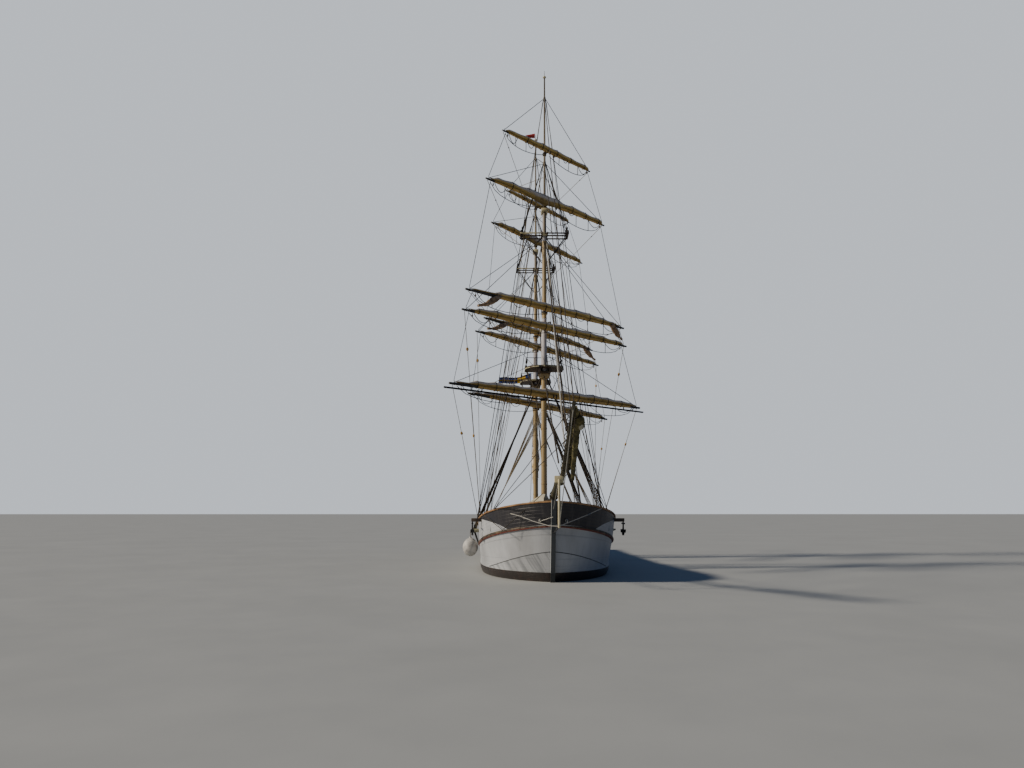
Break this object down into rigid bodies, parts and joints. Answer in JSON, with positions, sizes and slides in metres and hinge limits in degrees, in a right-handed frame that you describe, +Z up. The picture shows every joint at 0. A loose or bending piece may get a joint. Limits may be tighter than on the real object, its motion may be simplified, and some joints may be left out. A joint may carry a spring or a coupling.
{
  "type": "two-masted square-rigged brig, half-size model",
  "caption": "Half-size model of a two-masted square-rigged brig, sails furled on braced yards, with turning yards, boom, gaff, rudder, wheel, propeller and deckhouse door.",
  "frame": {"origin": "amidships on the centreline, at the waterline", "axes": "+X to the bow, +Y to port, +Z up"},
  "size_m": [23.2344, 6.1579, 18.0536],
  "materials": {
    "white_paint": "satin",
    "black_paint": "satin",
    "varnished_wood": "gloss",
    "deck_plank": "matte",
    "spar_paint": "satin",
    "top_paint": "matte",
    "tarred_rope": "matte",
    "sail_canvas": "matte",
    "olive_canvas": "matte",
    "iron": "matte",
    "bronze": "satin"
  },
  "bodies": {
    "hull": {"hull": "white_paint", "deck": "deck_plank", "bulwark_port": "black_paint", "bulwark_starboard": "black_paint", "bulwark_stern": "black_paint", "cap_rail": "varnished_wood", "backbone": "black_paint", "bowsprit": "spar_paint", "jibboom": "spar_paint", "dolphin_striker": "top_paint", "furled_headsails": "olive_canvas", "fore_lower_mast": "spar_paint", "fore_top": "top_paint", "fore_topmast": "spar_paint", "fore_topgallant_mast": "spar_paint", "main_lower_mast": "spar_paint", "main_top": "top_paint", "main_topmast": "spar_paint", "main_topgallant_mast": "spar_paint", "fore_shrouds_port": "tarred_rope", "fore_shrouds_starboard": "tarred_rope", "main_shrouds_port": "tarred_rope", "main_shrouds_starboard": "tarred_rope", "fore_stay": "tarred_rope", "fore_topmast_stay": "tarred_rope", "main_stay": "tarred_rope", "main_topmast_stay": "tarred_rope", "furled_spanker": "sail_canvas", "wheel_box": "varnished_wood", "deckhouse_walls": "varnished_wood", "deckhouse_roof": "white_paint", "main_hatch": "varnished_wood", "skylight": "varnished_wood", "windlass": "iron"},
    "fore_course_yard": {"fore_course_yard": "spar_paint", "fore_course_sail": "sail_canvas"},
    "fore_lower_topsail_yard": {"fore_lower_topsail_yard": "spar_paint", "fore_lower_topsail_sail": "sail_canvas"},
    "fore_upper_topsail_yard": {"fore_upper_topsail_yard": "spar_paint", "fore_upper_topsail_sail": "sail_canvas"},
    "fore_topgallant_yard": {"fore_topgallant_yard": "spar_paint", "fore_topgallant_sail": "sail_canvas"},
    "fore_royal_yard": {"fore_royal_yard": "spar_paint", "fore_royal_sail": "sail_canvas"},
    "main_course_yard": {"main_course_yard": "spar_paint", "main_course_sail": "sail_canvas"},
    "main_lower_topsail_yard": {"main_lower_topsail_yard": "spar_paint", "main_lower_topsail_sail": "sail_canvas"},
    "main_upper_topsail_yard": {"main_upper_topsail_yard": "spar_paint", "main_upper_topsail_sail": "sail_canvas"},
    "main_topgallant_yard": {"main_topgallant_yard": "spar_paint", "main_topgallant_sail": "sail_canvas"},
    "main_royal_yard": {"main_royal_yard": "spar_paint", "main_royal_sail": "sail_canvas"},
    "spanker_boom": {"spanker_boom": "spar_paint"},
    "spanker_gaff": {"spanker_gaff": "spar_paint"},
    "rudder": {"rudder": "black_paint"},
    "steering_wheel": {"steering_wheel": "varnished_wood"},
    "propeller": {"propeller": "bronze"},
    "deckhouse_door": {"deckhouse_door": "varnished_wood"}
  },
  "joints": [
    {"name": "fore_course_brace", "type": "hinge", "parent": "hull", "child": "fore_course_yard", "pos_m": [4.28119, 0, 5.37418], "axis": [-0.0175, 0, 0.9998], "range_deg": [-85.5, 10.5]},
    {"name": "fore_lower_topsail_brace", "type": "hinge", "parent": "hull", "child": "fore_lower_topsail_yard", "pos_m": [4.47047, 0, 7.4228], "axis": [-0.0175, 0, 0.9998], "range_deg": [-91, 9]},
    {"name": "fore_upper_topsail_brace", "type": "hinge", "parent": "hull", "child": "fore_upper_topsail_yard", "pos_m": [4.46017, 0, 8.01271], "axis": [-0.0175, 0, 0.9998], "range_deg": [-91, 9]},
    {"name": "fore_topgallant_brace", "type": "hinge", "parent": "hull", "child": "fore_topgallant_yard", "pos_m": [4.56799, 0, 11.29009], "axis": [-0.0175, 0, 0.9998], "range_deg": [-93, 7]},
    {"name": "fore_royal_brace", "type": "hinge", "parent": "hull", "child": "fore_royal_yard", "pos_m": [4.53998, 0, 12.89484], "axis": [-0.0175, 0, 0.9998], "range_deg": [-93.5, 6.5]},
    {"name": "main_course_brace", "type": "hinge", "parent": "hull", "child": "main_course_yard", "pos_m": [-1.70312, 0, 5.81645], "axis": [-0.0349, 0, 0.9994], "range_deg": [-95, 1]},
    {"name": "main_lower_topsail_brace", "type": "hinge", "parent": "hull", "child": "main_lower_topsail_yard", "pos_m": [-1.55486, 0, 8.01797], "axis": [-0.0349, 0, 0.9994], "range_deg": [-98, 2]},
    {"name": "main_upper_topsail_brace", "type": "hinge", "parent": "hull", "child": "main_upper_topsail_yard", "pos_m": [-1.5744, 0, 8.57763], "axis": [-0.0349, 0, 0.9994], "range_deg": [-98, 2]},
    {"name": "main_topgallant_brace", "type": "hinge", "parent": "hull", "child": "main_topgallant_yard", "pos_m": [-1.53165, 0, 12.08126], "axis": [-0.0349, 0, 0.9994], "range_deg": [-99, 1]},
    {"name": "main_royal_brace", "type": "hinge", "parent": "hull", "child": "main_royal_yard", "pos_m": [-1.5819, 0, 13.52038], "axis": [-0.0349, 0, 0.9994], "range_deg": [-99, 1]},
    {"name": "spanker_boom_swing", "type": "hinge", "parent": "hull", "child": "spanker_boom", "pos_m": [-1.78578, 0, 2.16635], "axis": [-0.0349, 0, 0.9994], "range_deg": [-38, 38]},
    {"name": "spanker_gaff_swing", "type": "hinge", "parent": "hull", "child": "spanker_gaff", "pos_m": [-1.89746, 0, 5.3644], "axis": [-0.0349, 0, 0.9994], "range_deg": [-35, 35]},
    {"name": "rudder_turn", "type": "hinge", "parent": "hull", "child": "rudder", "pos_m": [-7.375, 0, -0.7], "axis": [0, 0, 1], "range_deg": [-35, 35]},
    {"name": "steering_wheel_turn", "type": "hinge", "parent": "hull", "child": "steering_wheel", "pos_m": [-6.8747, 0, 1.48876], "axis": [1, 0, 0], "range_deg": [-360, 360]},
    {"name": "propeller_spin", "type": "hinge", "parent": "hull", "child": "propeller", "pos_m": [-7, 0, -0.85], "axis": [1, 0, 0], "continuous": true},
    {"name": "deckhouse_door_swing", "type": "hinge", "parent": "hull", "child": "deckhouse_door", "pos_m": [0.55, 0.057, 1.38354], "axis": [0, 0, 1], "range_deg": [0, 110]}
  ],
  "couplings": [
    {"joint": "fore_upper_topsail_brace", "follows": "fore_lower_topsail_brace", "ratio": 1},
    {"joint": "main_upper_topsail_brace", "follows": "main_lower_topsail_brace", "ratio": 1},
    {"joint": "steering_wheel_turn", "follows": "rudder_turn", "ratio": 10.286}
  ]
}
